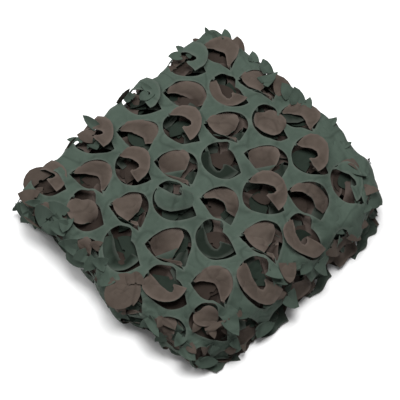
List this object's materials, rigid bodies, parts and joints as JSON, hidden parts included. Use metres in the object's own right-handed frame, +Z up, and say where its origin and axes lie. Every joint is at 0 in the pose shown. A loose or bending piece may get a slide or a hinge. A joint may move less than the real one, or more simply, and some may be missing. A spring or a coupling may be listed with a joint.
{
  "type": "camouflage net, folded",
  "caption": "Camouflage net of thin cloth, green on one face and brown on the other, with half-round cut flaps, folded back and forth into a nearly square pad.",
  "frame": {"origin": "under the middle of the pad's bounding box, on the surface that the pad lies on", "axes": "+Z up, through the folded layers; +X along the folds, +Y across them, with the folds that join each pair of layers from the bottom up at -Y"},
  "size_m": [0.3926, 0.4032, 0.1],
  "materials": {
    "net_cloth": "matt woven cloth, dark green on one face and grey-brown on the other"
  },
  "bodies": {
    "root": {"net_cloth": "net_cloth"}
  },
  "joints": []
}
